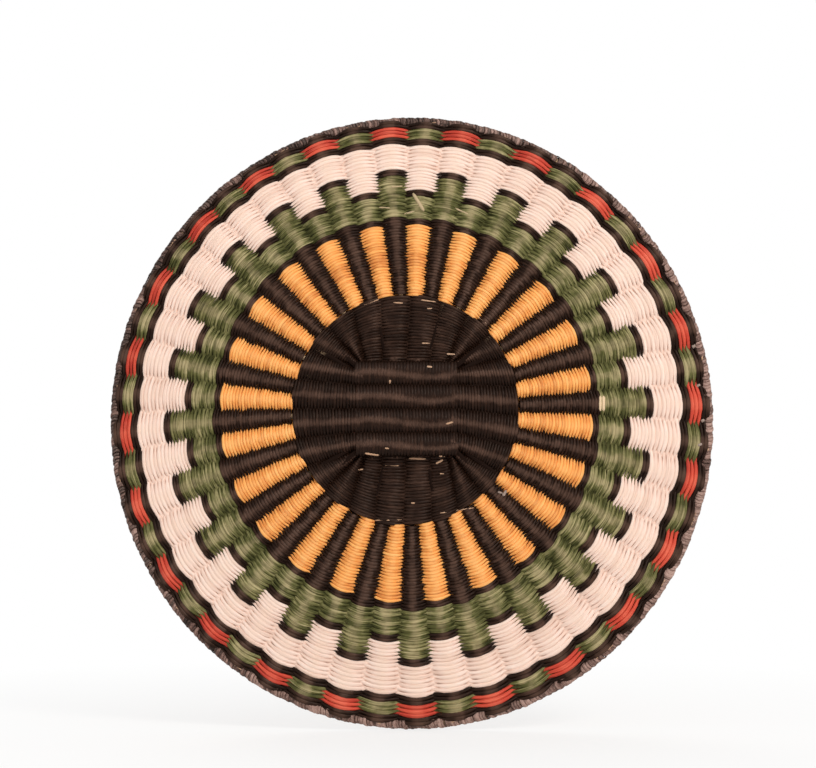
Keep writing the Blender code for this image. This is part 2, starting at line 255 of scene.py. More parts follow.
class StrandTree:
    """A node tree that makes closed strands from named sizes."""

    def __init__(self, name: str) -> None:
        """Start an empty tree.

        Args:
            name: the tree's name.
        """
        self.tree = bpy.data.node_groups.new(name, "GeometryNodeTree")
        self.tree.is_modifier = True
        self.tree.interface.new_socket("Geometry", in_out="OUTPUT", socket_type="NodeSocketGeometry")
        self.given = self.tree.nodes.new("NodeGroupInput")
        self.identifiers: dict[str, str] = {}
        self.geometry: bpy.types.NodeSocket | None = None

    def named(self, *names: str, kind: str = "Float") -> list[Field]:
        """Add named inputs.

        Args:
            names: the inputs' names.
            kind: what they hold.

        Returns:
            The inputs' values inside the tree.
        """
        for name in names:
            item = self.tree.interface.new_socket(name, in_out="INPUT", socket_type="NodeSocket" + kind)
            self.identifiers[name] = item.identifier
        return [Field(self.tree, self.given.outputs[name]) for name in names]

    def node(self, kind: str, **inputs: object) -> bpy.types.Node:
        """Add a node.

        Args:
            kind: the node's type.
            inputs: its inputs by name, with underscores for spaces. A socket or a field is linked.

        Returns:
            The node.
        """
        node = self.tree.nodes.new(kind)
        for name, value in inputs.items():
            target = node.inputs[name.replace("_", " ")]
            if isinstance(value, bpy.types.NodeSocket):
                self.tree.links.new(value, target)
            else:
                connect(value, target)
        return node

    def copies(self, shape: bpy.types.NodeSocket, count: Field) -> tuple[Field, Field, Field, Field]:
        """Lay a number of copies of a shape over each other, ready to be moved into place.

        Args:
            shape: the mesh to copy.
            count: how many copies.

        Returns:
            The three coordinates of each point and its copy's number.
        """
        places = self.node("GeometryNodeMeshLine", Count=count, Offset=(0.0, 0.0, 0.0))
        number = self.tree.nodes.new("GeometryNodeInputIndex")
        self.geometry = places.outputs["Mesh"]
        self.store("row", Field(self.tree, number.outputs["Index"]))
        laid = self.node("GeometryNodeInstanceOnPoints", Points=self.geometry, Instance=shape)
        real = self.node("GeometryNodeRealizeInstances", Geometry=laid.outputs["Instances"])
        self.geometry = real.outputs["Geometry"]
        row = self.tree.nodes.new("GeometryNodeInputNamedAttribute")
        row.inputs["Name"].default_value = "row"
        here = self.tree.nodes.new("GeometryNodeInputPosition")
        parts = self.node("ShaderNodeSeparateXYZ", Vector=here.outputs["Position"])
        x, y, z = (Field(self.tree, output) for output in parts.outputs)
        return x, y, z, Field(self.tree, row.outputs["Attribute"])

    def strands(self, count: Field, points: int, sides: int) -> tuple[Field, Field, Field]:
        """Lay a number of closed strands over each other, ready to be moved into place.

        Args:
            count: how many strands.
            points: sections round each strand.
            sides: sides of a section.

        Returns:
            The turn along the strand, the turn round its section and the strand's number.
        """
        path = self.node("GeometryNodeCurvePrimitiveCircle", Resolution=points, Radius=1.0)
        section = self.node("GeometryNodeCurvePrimitiveCircle", Resolution=sides, Radius=0.25)
        strand = self.node(
            "GeometryNodeCurveToMesh", Curve=path.outputs["Curve"], Profile_Curve=section.outputs["Curve"]
        )
        x, y, z, row = self.copies(strand.outputs["Mesh"], count)
        along = compute("ARCTAN2", y, x)
        around = compute("ARCTAN2", z, (x * x + y * y) ** 0.5 - 1.0)
        return along, around, row

    def stubs(self, count: Field, sides: int) -> tuple[Field, Field, Field, Field]:
        """Lay a number of short tapered stubs over each other, ready to be moved into place.

        Args:
            count: how many stubs.
            sides: sides of a section.

        Returns:
            The share of the way along the stub, two offsets across it from -1 to 1, and its number.
        """
        size = {"Radius_Top": 0.5, "Radius_Bottom": 1.0, "Depth": 1.0}
        stub = self.node("GeometryNodeMeshCone", Vertices=sides, Side_Segments=3, **size)
        x, y, z, number = self.copies(stub.outputs["Mesh"], count)
        return z, x, y, number

    def store(self, name: str, value: Field, kind: str = "FLOAT") -> None:
        """Keep a value on the points.

        Args:
            name: the attribute's name.
            value: what it holds.
            kind: its data type.
        """
        node = self.tree.nodes.new("GeometryNodeStoreNamedAttribute")
        node.data_type = kind
        node.inputs["Name"].default_value = name
        self.tree.links.new(self.geometry, node.inputs["Geometry"])
        self.tree.links.new(value.socket, node.inputs["Value"])
        self.geometry = node.outputs["Geometry"]

    def random(self, number: Field, seed: Value) -> Field:
        """Return a fixed random value from 0 to 1.

        Args:
            number: what the value belongs to.
            seed: the seed.

        Returns:
            The random value.
        """
        node = self.tree.nodes.new("FunctionNodeRandomValue")
        connect(number, node.inputs["ID"])
        connect(seed, node.inputs["Seed"])
        return Field(self.tree, node.outputs[1])

    def tell(self, grain: Field, strand: Field, tone: Field, crest: Field) -> None:
        """Keep what the finish reads.

        Args:
            grain: the place in the grain.
            strand: what parts one strand's grain from the next.
            tone: the twig's own tone, from 0 to 1.
            crest: 1 where the strand stands furthest out and 0 where it crosses its neighbours; the finish
                paints shade and highlight from it.
        """
        self.store("grain", grain, "FLOAT_VECTOR")
        for name, value in (("strand", strand), ("tone", tone), ("crest", crest)):
            self.store(name, value)

    def tell_twigs(self, strand: Strand, seed: Value, crest: Field) -> None:
        """Split each strand into twigs and keep what their finish reads.

        Args:
            strand: the strand.
            seed: the seed for the twigs' tones.
            crest: from 0 to 1, mostly how far out the strand stands; the finish paints shade and highlight
                from it.
        """
        twigs_round, grain_along, grain_round, strand_gap = 3.0, 9.0, 2.5, 17.3
        along, around = strand.along, strand.around
        start = self.random(strand.number, seed)
        twig = ((along / math.tau + start) * twigs_round % twigs_round).floor()
        tone = self.random(strand.number * twigs_round + twig, seed + 1.0)
        grain = combine(along.cos() * grain_along, along.sin() * grain_along, around.cos() * grain_round)
        self.tell(grain, around.sin() * grain_round + strand.number * strand_gap, tone, crest)

    def finish(self, position: Field) -> None:
        """Move the strands into place and end the tree.

        Args:
            position: where each point goes.
        """
        moved = self.node("GeometryNodeSetPosition", Geometry=self.geometry, Position=position)
        smooth = self.node("GeometryNodeSetShadeSmooth", Geometry=moved.outputs["Geometry"])
        real = self.node("GeometryNodeRealizeInstances", Geometry=smooth.outputs["Geometry"])
        [finish] = self.named("Finish", kind="Material")
        dressed = self.node(
            "GeometryNodeSetMaterial", Geometry=real.outputs["Geometry"], Material=finish.socket
        )
        result = self.tree.nodes.new("NodeGroupOutput")
        self.tree.links.new(dressed.outputs["Geometry"], result.inputs["Geometry"])

    def make(self, name: str, finish: TwigFinish, sizes: dict[str, float]) -> bpy.types.Object:
        """Run the tree with the given sizes and keep the result as a plain piece.

        Args:
            name: the piece's name.
            finish: the piece's finish.
            sizes: the tree's inputs by name.

        Returns:
            The piece.
        """
        worker = bpy.data.objects.new(name + "_worker", bpy.data.meshes.new(name + "_worker"))
        bpy.context.scene.collection.objects.link(worker)
        modifier = worker.modifiers.new("strands", "NODES")
        modifier.node_group = self.tree
        for size, value in {**sizes, "Finish": finish.material()}.items():
            modifier[self.identifiers[size]] = value
        graph = bpy.context.evaluated_depsgraph_get()
        mesh = bpy.data.meshes.new_from_object(
            worker.evaluated_get(graph), preserve_all_data_layers=True, depsgraph=graph
        )
        worker.modifiers.remove(modifier)
        bpy.data.objects.remove(worker, do_unlink=True)
        mesh.name = name
        face_outward(mesh)
        return add_piece(name, mesh)


def face_outward(mesh: bpy.types.Mesh) -> None:
    """Turn a closed mesh's faces outward.

    Args:
        mesh: the mesh.
    """
    shell = bmesh.new()
    shell.from_mesh(mesh)
    inside_out = shell.calc_volume(signed=True) < 0
    shell.free()
    if inside_out:
        mesh.flip_normals()


def add_piece(name: str, mesh: bpy.types.Mesh) -> bpy.types.Object:
    """Add a finished piece that rides with the plaque.

    Args:
        name: the piece's name.
        mesh: its mesh, in place.

    Returns:
        The piece.
    """
    piece = bpy.data.objects.new(name, mesh)
    bpy.context.scene.collection.objects.link(piece)
    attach(piece, "root")
    LOG.info("%s: %d faces", name, len(mesh.polygons))
    return piece


@dataclass(frozen=True)
class Plan:
    """The plaque's plan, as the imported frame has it."""

    centre_x: float = -0.0032
    centre_y: float = -0.00615
    centre_radius: float = 0.0573
    rim_radius: float = 0.15225
    width_share: float = 0.992
    height_share: float = 1.0066
    drift_x: float = -0.0033
    drift_z: float = 0.0067
    halfway_drift_x: float = -0.0008
    halfway_drift_z: float = 0.0009
    spokes: int = 48
    first_spoke: float = math.radians(-4.7)
    lean: float = math.radians(1.7)
    lean_peak: float = math.radians(47)
    ripple: float = math.radians(0.66)
    ripple_peak: float = math.radians(-43)
    ripples_round: int = 3
    lean_start_share: float = -0.3
    mat_x: float = -0.0028
    mat_z: float = 0.0074
    mat_depth: float = 0.00315

    @property
    def step(self) -> float:
        """Return the angle from one spoke to the next."""
        return math.tau / self.spokes

    def place(self, radius: Value, angle: Field, depth: Value) -> tuple[Field, Value, Field]:
        """Find a point of the ring weave, with its drift, its lean and its slight oval.

        Args:
            radius: the ring's radius.
            angle: the angle, anticlockwise from the right as seen from the front.
            depth: how far behind the spokes' middle the point lies.

        Returns:
            The point's three coordinates.
        """
        inward = (self.rim_radius - radius) / (self.rim_radius - self.centre_radius)
        lean_share = 1 - (1 - self.lean_start_share) * self.centre_radius * inward / radius
        sway = self.lean * (angle - self.lean_peak).cos()
        ripple = self.ripple * (self.ripples_round * (angle - self.ripple_peak)).cos()
        leant = angle + (sway + ripple) * lean_share
        halfway = 4.0 * inward * (1.0 - inward)
        drift_x = self.drift_x * inward + self.halfway_drift_x * halfway
        drift_z = self.drift_z * inward + self.halfway_drift_z * halfway
        x = self.centre_x + drift_x + radius * leant.cos() * self.width_share
        z = drift_z + radius * leant.sin() * self.height_share
        return x, self.centre_y + depth, z


@dataclass(frozen=True)
class TwigFinish:
    """Dyed or plain twig: each twig's own tone, grain along it, wear and a painted highlight where it stands
    proud, and painted shade where rows cross.

    The slot is the record's, and closeness and crossing are half a row's width over a spoke and between
    spokes, as shares of its pitch.
    """

    name: str
    slot: str
    deep: Colour
    body: Colour
    pale: Colour
    # The worn colour is partly real wear and partly a painted highlight on the crests.
    worn_and_highlight: Colour
    wear_and_highlight: float = 0.25
    variety: float = 0.42
    mottle: float = 0.9
    streaking: float = 0.8
    # Painted shade: how much darker the colour is painted where the crest value is low.
    painted_shade: float = 0.12
    usual_crest: float = 0.7
    clouding: float = 0.5
    cloud_scale: float = 22.0
    # These shape the mask for wear and painted highlight on the crests.
    rub_and_highlight_start: float = 0.7
    rub_and_highlight_rise: float = 1.5
    rub_and_highlight_break: float = 1.6
    closeness: float = 0.56
    crossing: float = 0.36
    roughness: float = 0.62
    roughness_change: float = 0.25
    usual_change: float = 0.12
    rub_polish: float = 0.08
    streak_relief: float = 0.6
    patch_relief: float = 0.4
    gloss: float = 0.25
    sheen: Colour = (1.0, 1.0, 1.0)
    relief: float = 0.00012

    def material(self) -> bpy.types.Material:
        """Return the material, made the first time that a piece asks for it."""
        return bpy.data.materials.get(self.name) or self.new_material()

    def new_material(self) -> bpy.types.Material:
        """Make the material.

        Returns:
            The material.
        """
        dress = Dressing(self.name)
        grain = dress.attribute("grain", "Vector")
        strand, tone, crest = (dress.attribute(name, "Fac") for name in ("strand", "tone", "crest"))
        streaks = noise(grain, strand, scale=1.5, detail=4.0)
        patches = noise(grain, strand, scale=0.75, detail=2.0)
        clouds = noise(dress.object_place(), 0.0, self.cloud_scale, detail=3.0)
        uneven_dye = (patches - 0.5) * self.mottle + (streaks - 0.5) * self.streaking
        uneven_dye = uneven_dye + (clouds - 0.5) * self.clouding
        # Painted shade: the colour is darkened where the crest value is low, where rows dive at the
        # crossings, and lightened on the crests.
        shade = uneven_dye + (tone - 0.5) * self.variety + (crest - self.usual_crest) * self.painted_shade + 0.5
        colour = dress.ramp(shade, (self.deep, self.body, self.pale))
        # Wear and painted highlight: the crests are mixed towards the paler worn colour, broken up by the
        # streaks and clouds.
        broken = (streaks - 0.5) * self.rub_and_highlight_break, (clouds - 0.5) * self.rub_and_highlight_break
        rubbed_and_highlight = (crest**3 * self.rub_and_highlight_rise - self.rub_and_highlight_start + broken[0] + broken[1]).clamp(0.0, 1.0)
        colour = dress.mix(colour, self.worn_and_highlight, rubbed_and_highlight * self.wear_and_highlight)
        roughness = streaks * self.roughness_change + (self.roughness - self.usual_change)
        roughness = roughness - rubbed_and_highlight * self.rub_polish
        height = streaks * self.streak_relief + patches * self.patch_relief
        return dress.finish(colour, roughness, height, self.relief, self.gloss, self.sheen)


@dataclass(frozen=True)
class RodFinish:
    """Peeled willow, with its grain along the rod, darkened by dye towards the plaque's middle."""

    name: str
    deep: Colour
    body: Colour
    pale: Colour
    stain: Colour
    plan: Plan = Plan()
    stained_to: float = 0.058
    stain_fade: float = 0.006
    grain_round: float = 90.0
    grain_along: float = 60.0
    grain_deep: float = 900.0
    streaking: float = 0.8
    patching: float = 0.5
    darkening: float = 0.15
    roughness: float = 0.6
    roughness_change: float = 0.2
    usual_change: float = 0.1
    gloss: float = 0.35
    relief: float = 0.0001

    def material(self) -> bpy.types.Material:
        """Make the material.

        Returns:
            The material.
        """
        dress = Dressing(self.name)
        place = dress.object_place()
        parts = dress.tree.nodes.new("ShaderNodeSeparateXYZ")
        dress.tree.links.new(place.socket, parts.inputs[0])
        x, y, z = (Field(dress.tree, output) for output in parts.outputs)
        x = x - self.plan.centre_x
        radius = (x * x + z * z) ** 0.5
        angle = compute("ARCTAN2", z, x)
        turns = self.grain_round
        grain = combine(angle.cos() * turns, angle.sin() * turns, radius * self.grain_along)
        streaks = noise(grain, y * self.grain_deep, scale=2.0, detail=4.0)
        patches = noise(place, 0.0, scale=60.0, detail=2.0)
        shade = streaks * self.streaking + patches * self.patching - self.darkening
        colour = dress.ramp(shade, (self.deep, self.body, self.pale))
        stained = ((self.stained_to - radius) / self.stain_fade + 0.5).clamp(0.0, 1.0)
        colour = dress.mix(colour, self.stain, stained)
        roughness = streaks * self.roughness_change + (self.roughness - self.usual_change)
        gloss = (1.0 - stained) * self.gloss
        return dress.finish(colour, roughness, streaks, self.relief, gloss)


class Dressing:
    """The node tree of one finish."""

    bump_strength = 0.7
    least_roughness = 0.2

    def __init__(self, name: str) -> None:
        """Start a material.

        Args:
            name: the material's name.
        """
        self.result = bpy.data.materials.new(name)
        self.result.use_nodes = True
        self.tree = self.result.node_tree
        self.shader = self.tree.nodes["Principled BSDF"]

    def attribute(self, name: str, output: str) -> Field:
        """Read a value that a piece's points carry.

        Args:
            name: the attribute's name.
            output: which of the node's outputs to read.

        Returns:
            The value.
        """
        node = self.tree.nodes.new("ShaderNodeAttribute")
        node.attribute_name = name
        return Field(self.tree, node.outputs[output])

    def object_place(self) -> Field:
        """Return the place on the object."""
        return Field(self.tree, self.tree.nodes.new("ShaderNodeTexCoord").outputs["Object"])

    def ramp(self, amount: Field, colours: tuple[Colour, ...]) -> Field:
        """Run evenly through colours.

        Args:
            amount: where along the run, from 0 to 1.
            colours: the colours.

        Returns:
            The colour.
        """
        node = self.tree.nodes.new("ShaderNodeValToRGB")
        elements = node.color_ramp.elements
        while len(elements) < len(colours):
            elements.new(0.5)
        for index, (element, colour) in enumerate(zip(elements, colours)):
            element.position = index / (len(colours) - 1)
            element.color = (*colour, 1.0)
        self.tree.links.new(amount.socket, node.inputs["Fac"])
        return Field(self.tree, node.outputs["Color"])

    def mix(self, base: Field, cover: Colour, amount: Field) -> Field:
        """Lay a colour over another.

        Args:
            base: the colour below.
            cover: the colour above.
            amount: how much of it shows.

        Returns:
            The colour.
        """
        node = self.tree.nodes.new("ShaderNodeMix")
        node.data_type = "RGBA"
        self.tree.links.new(amount.socket, node.inputs[0])
        self.tree.links.new(base.socket, node.inputs[6])
        node.inputs[7].default_value = (*cover, 1.0)
        return Field(self.tree, node.outputs[2])

    def finish(
        self,
        colour: Field,
        roughness: Field,
        height: Field,
        relief: float,
        gloss: Value,
        sheen: Colour = (1.0, 1.0, 1.0),
    ) -> bpy.types.Material:
        """End the material.

        Args:
            colour: its colour.
            roughness: its roughness.
            height: its relief, from 0 to 1.
            relief: how deep the relief is.
            gloss: its specular level.
            sheen: the colour of its highlights.

        Returns:
            The material.
        """
        bump = self.tree.nodes.new("ShaderNodeBump")
        bump.inputs["Strength"].default_value = self.bump_strength
        bump.inputs["Distance"].default_value = relief
        self.tree.links.new(height.socket, bump.inputs["Height"])
        self.tree.links.new(bump.outputs["Normal"], self.shader.inputs["Normal"])
        self.tree.links.new(colour.socket, self.shader.inputs["Base Color"])
        connect(roughness.clamp(self.least_roughness, 1.0), self.shader.inputs["Roughness"])
        connect(gloss, self.shader.inputs["Specular IOR Level"])
        self.shader.inputs["Specular Tint"].default_value = (*sheen, 1.0)
        return self.result


BLACK_TWIG = TwigFinish(
    "brown_black_twig",
    "black_weft",
    deep=(0.009, 0.0036, 0.0019),
    body=(0.017, 0.0072, 0.0043),
    pale=(0.042, 0.020, 0.0125),
    worn_and_highlight=(0.185, 0.106, 0.078),
    wear_and_highlight=0.42,
    mottle=1.3,
    painted_shade=0.5,
    clouding=0.7,
    cloud_scale=90.0,
    closeness=0.60,
    roughness=0.40,
    gloss=0.12,
    sheen=(1.0, 0.84, 0.75),
)
ORANGE_TWIG = TwigFinish(
    "yellow_orange_twig",
    "orange_weft",
    deep=(0.60, 0.19, 0.045),
    body=(1.0, 0.43, 0.11),
    pale=(1.0, 0.55, 0.18),
    worn_and_highlight=(1.0, 0.62, 0.28),
    closeness=0.60,
)
GREEN_TWIG = TwigFinish(
    "olive_green_twig",
    "green_weft",
    deep=(0.022, 0.024, 0.005),
    body=(0.128, 0.127, 0.042),
    pale=(0.44, 0.385, 0.195),
    worn_and_highlight=(0.50, 0.38, 0.24),
    wear_and_highlight=0.35,
    variety=0.35,
    mottle=1.5,
    painted_shade=0.3,
    clouding=1.3,
    cloud_scale=140.0,
    closeness=0.61,
    gloss=0.12,
)
# Painted light: a paler copy of the green twig for the step band, so that it shows as bright as the field.
GREEN_STEP_TWIG = replace(
    GREEN_TWIG, name="olive_green_step_twig", body=(0.165, 0.155, 0.055), pale=(0.50, 0.44, 0.23)
)
WHITE_TWIG = TwigFinish(
    "whitened_twig",
    "white_weft",
    deep=(0.76, 0.54, 0.44),
    body=(0.95, 0.73, 0.63),
    pale=(1.0, 0.83, 0.74),
    worn_and_highlight=(0.88, 0.64, 0.46),
    wear_and_highlight=0.25,
    variety=0.35,
    mottle=1.2,
    closeness=0.62,
    roughness=0.75,
    gloss=0.15,
)
RED_TWIG = TwigFinish(
    "brick_red_twig",
    "red_weft",
    deep=(0.30, 0.022, 0.016),
    body=(0.60, 0.062, 0.034),
    pale=(0.82, 0.135, 0.075),
    worn_and_highlight=(0.95, 0.27, 0.16),
)
LEAF_STRIP = TwigFinish(
    "mauve_brown_leaf_strip",
    "rim_strip",
    deep=(0.020, 0.011, 0.008),
    body=(0.165, 0.092, 0.074),
    pale=(0.46, 0.30, 0.255),
    worn_and_highlight=(0.55, 0.40, 0.34),
    wear_and_highlight=0.35,
    variety=0.9,
    roughness=0.65,
)
TAN_TWIG = TwigFinish(
    "undyed_tan_twig",
    "willow_rod",
    deep=(0.24, 0.13, 0.07),
    body=(0.52, 0.32, 0.20),
    pale=(0.72, 0.50, 0.36),
    worn_and_highlight=(0.80, 0.58, 0.44),
)
STRAW_TWIG = TwigFinish(
    "faded_straw_twig",
    "green_weft",
    deep=(0.30, 0.23, 0.12),
    body=(0.48, 0.37, 0.22),
    pale=(0.70, 0.54, 0.34),
    worn_and_highlight=(0.80, 0.62, 0.42),
)
BARE_TWIG = TwigFinish(
    "bare_cream_twig",
    "green_weft",
    deep=(0.50, 0.38, 0.24),
    body=(0.78, 0.59, 0.38),
    pale=(0.90, 0.70, 0.48),
    worn_and_highlight=(0.95, 0.74, 0.54),
)
# A pale grey finish for the small grey marks on the face.
PALE_GREY_FINISH = TwigFinish(
    "pale_grey_marks",
    "white_weft",
    deep=(0.16, 0.12, 0.10),
    body=(0.34, 0.26, 0.22),
    pale=(0.56, 0.46, 0.41),
    worn_and_highlight=(0.70, 0.61, 0.55),
)
PEELED_WILLOW = RodFinish(
    "peeled_willow",
    deep=(0.24, 0.14, 0.07),
    body=(0.46, 0.31, 0.18),
    pale=(0.66, 0.50, 0.33),
    stain=(0.016, 0.009, 0.007),
)


@dataclass(frozen=True)
class Band:
    """A band of rows of one colour over every other spoke, through one ring or two."""

    stem: str
    spokes: Spokes
    first: Ring
    last: Ring
    finish: TwigFinish

    @property
    def first_row(self) -> int:
        """Return how many rows lie inside the band."""
        rings = list(Ring)
        return sum(ring.rows for ring in rings[: rings.index(self.first)])

    @property
    def rows(self) -> int:
        """Return how many rows the band has."""
        rings = list(Ring)
        return sum(ring.rows for ring in rings[rings.index(self.first) : rings.index(self.last) + 1])


@dataclass(frozen=True)
class Lay:
    """How a row lies: its shape over and between spokes, and how much and how quickly it varies."""

    lift: float = 0.00215
    thickness: float = 0.0016
    crossing_softness: float = 1.4
    crest_softness: float = 1.8
    face_softness: float = 0.7
    slip: float = 0.50
    slip_swings: float = 30.0
    wander: float = 0.20
    wander_swings: float = 6.0
    width_change: float = 0.35
    width_swings: float = 14.0
    lift_change: float = 0.35
    lift_swings: float = 12.0

    def half_width(self, strand: Strand, over: Field, crest: Value, crossing: Value) -> Field:
        """Return half a row's width as a share of its pitch.

        Args:
            strand: the strand.
            over: 1 on a crest and 0 at a crossing.
            crest: half the row's usual width on a crest.
            crossing: half its width at a crossing.

        Returns:
            The share.
        """
        change = strand.uneven(self.width_swings) * self.width_change
        return over.squared_off(self.crossing_softness) * (change + crest - crossing) + crossing

    def height(self, strand: Strand, lift: Field) -> Field:
        """Return how high the row rises on its crests, from the usual height."""
        return lift * (1.0 + strand.uneven(self.lift_swings) * self.lift_change)

    def face(self, around: Field, thickness: Field) -> Field:
        """Return how far the row's surface lies from its middle, with flat faces and rounded edges."""
        return around.sin().squared_off(self.face_softness) * thickness / 2.0


@dataclass(frozen=True)
class Rows:
    """One piece of woven rows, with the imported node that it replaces."""

    name: str
    node: str
    finish: TwigFinish
    sizes: dict[str, float]


@dataclass(frozen=True)
class Weave:
    """What every kind of woven row shares: the plan, how a row lies, and how finely it is made."""

    plan: Plan = Plan()
    lay: Lay = Lay()
    points: int = 384
    sides: int = 8

    def tree(self) -> StrandTree:
        """Make the weave's tree, which each kind of weave has of its own."""
        raise NotImplementedError

    def pieces(self) -> list[Rows]:
        """List the weave's pieces, which each kind of weave has of its own."""
        raise NotImplementedError

    def slip(self, strand: Strand) -> Field:
        """Return how far a row's crests slip along it, in spokes."""
        return strand.uneven(self.lay.slip_swings) * self.lay.slip

    def wander(self, strand: Strand) -> Field:
        """Return how far a row strays from its place, in rows."""
        return strand.uneven(self.lay.wander_swings) * self.lay.wander

    def build(self) -> list[bpy.types.Object]:
        """Make every piece of rows.

        Returns:
            The pieces.
        """
        tree = self.tree()
        pieces = []
        for rows in self.pieces():
            sizes = {"Lift": self.lay.lift, "Thickness": self.lay.thickness, **rows.sizes}
            pieces.append(tree.make(rows.name, rows.finish, sizes))
            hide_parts(rows.node)
        return pieces


@dataclass(frozen=True)
class RingWeave(Weave):
    """The rows round the forty-eight spokes, from the dark centre out to the rim."""

    white_lift: float = 0.0018
    bow: float = 0.0013
    edge_bow_share: float = 0.8
    seed_step: float = 40.0

    def bands(self) -> list[Band]:
        """List the bands of rows from the inside out.

        Returns:
            The bands.
        """
        even, odd = Spokes.EVEN, Spokes.ODD
        return [
            Band("orange_stripe", even, Ring.STRIPES, Ring.STRIPES, ORANGE_TWIG),
            Band("black_stripe", odd, Ring.STRIPES, Ring.LINE, BLACK_TWIG),
            Band("black_line", even, Ring.LINE, Ring.LINE, BLACK_TWIG),
            Band("green_field", even, Ring.FIELD, Ring.FIELD, GREEN_TWIG),
            Band("green_step_foot", odd, Ring.FIELD, Ring.LOW_STEP, GREEN_TWIG),
            Band("low_step_line", even, Ring.LOW_STEP, Ring.LOW_STEP, BLACK_TWIG),
            Band("white_notch", even, Ring.STEP, Ring.STEP, WHITE_TWIG),
            Band("green_step", odd, Ring.STEP, Ring.STEP, GREEN_STEP_TWIG),
            Band("high_step_line", odd, Ring.HIGH_STEP, Ring.HIGH_STEP, BLACK_TWIG),
            Band("white_even", even, Ring.HIGH_STEP, Ring.WHITE, WHITE_TWIG),
            Band("white_odd", odd, Ring.WHITE, Ring.WHITE, WHITE_TWIG),
            Band("border_line_even", even, Ring.BORDER, Ring.BORDER, BLACK_TWIG),
            Band("border_line_odd", odd, Ring.BORDER, Ring.BORDER, BLACK_TWIG),
            Band("green_dash", even, Ring.DASHES, Ring.DASHES, GREEN_TWIG),
            Band("red_dash", odd, Ring.DASHES, Ring.DASHES, RED_TWIG),
            Band("edge_line_even", even, Ring.EDGE, Ring.EDGE, BLACK_TWIG),
            Band("edge_line_odd", odd, Ring.EDGE, Ring.EDGE, BLACK_TWIG),
        ]

    def radius(self, row: Field) -> Field:
        """Return the radius at a row, counted from the innermost with parts of a row.

        Args:
            row: the row.

        Returns:
            The radius.
        """
        radius: Value = self.plan.centre_radius
        inner, first = self.plan.centre_radius, 0.0
        for ring in Ring:
            low = -1.0 if ring is Ring.STRIPES else 0.0
            high = ring.rows + (1.0 if ring is Ring.EDGE else 0.0)
            radius = (row - first).clamp(low, high) * ((ring.outer - inner) / ring.rows) + radius
            inner, first = ring.outer, first + ring.rows
        return radius

    def tree(self) -> StrandTree:
        """Make the tree of woven rings.

        Returns:
            The tree.
        """
        tree = StrandTree("woven_rings")
        [rows] = tree.named("Rows", kind="Int")
        first_row, odd, lift, thickness = tree.named("First Row", "Odd Spokes", "Lift", "Thickness")
        crest, crossing, bow, seed = tree.named("Crest Half Width", "Crossing Half Width", "Bow", "Seed")
        along, around, row = tree.strands(rows, self.points, self.sides)
        strand = Strand(along, around, row + seed)
        spoke = (along - self.plan.first_spoke) / self.plan.step
        wave = ((spoke + self.slip(strand) - odd) * math.pi).cos()
        tree.tell_twigs(strand, seed, abs(wave))
        half_width = self.lay.half_width(strand, abs(wave), crest, crossing)
        place = first_row + row + odd * 0.5 + 0.25 + self.wander(strand) + around.cos() * half_width
        radius = self.radius(place)
        arch = abs((spoke * math.pi).cos()) - 0.5
        bowed = radius + bow * arch * radius / self.plan.rim_radius
        height = self.lay.height(strand, lift)
        depth = 0.0 - height * wave.squared_off(self.lay.crest_softness) - self.lay.face(around, thickness)
        tree.finish(combine(*self.plan.place(bowed, along, depth)))
        return tree

    def pieces(self) -> list[Rows]:
        """List the pieces, one for each band.

        Returns:
            The pieces.
        """
        pieces = []
        for number, band in enumerate(self.bands()):
            sizes = {
                "First Row": float(band.first_row),
                "Rows": band.rows,
                "Odd Spokes": float(band.spokes.value),
                "Lift": self.white_lift if band.finish is WHITE_TWIG else self.lay.lift,
                "Crest Half Width": band.finish.closeness,
                "Crossing Half Width": band.finish.crossing,
                "Bow": self.bow * (self.edge_bow_share if band.last is Ring.EDGE else 1.0),
                "Seed": self.seed_step * number,
            }
            pieces.append(Rows(band.stem + "_rows", band.stem + "_weft", band.finish, sizes))
        return pieces


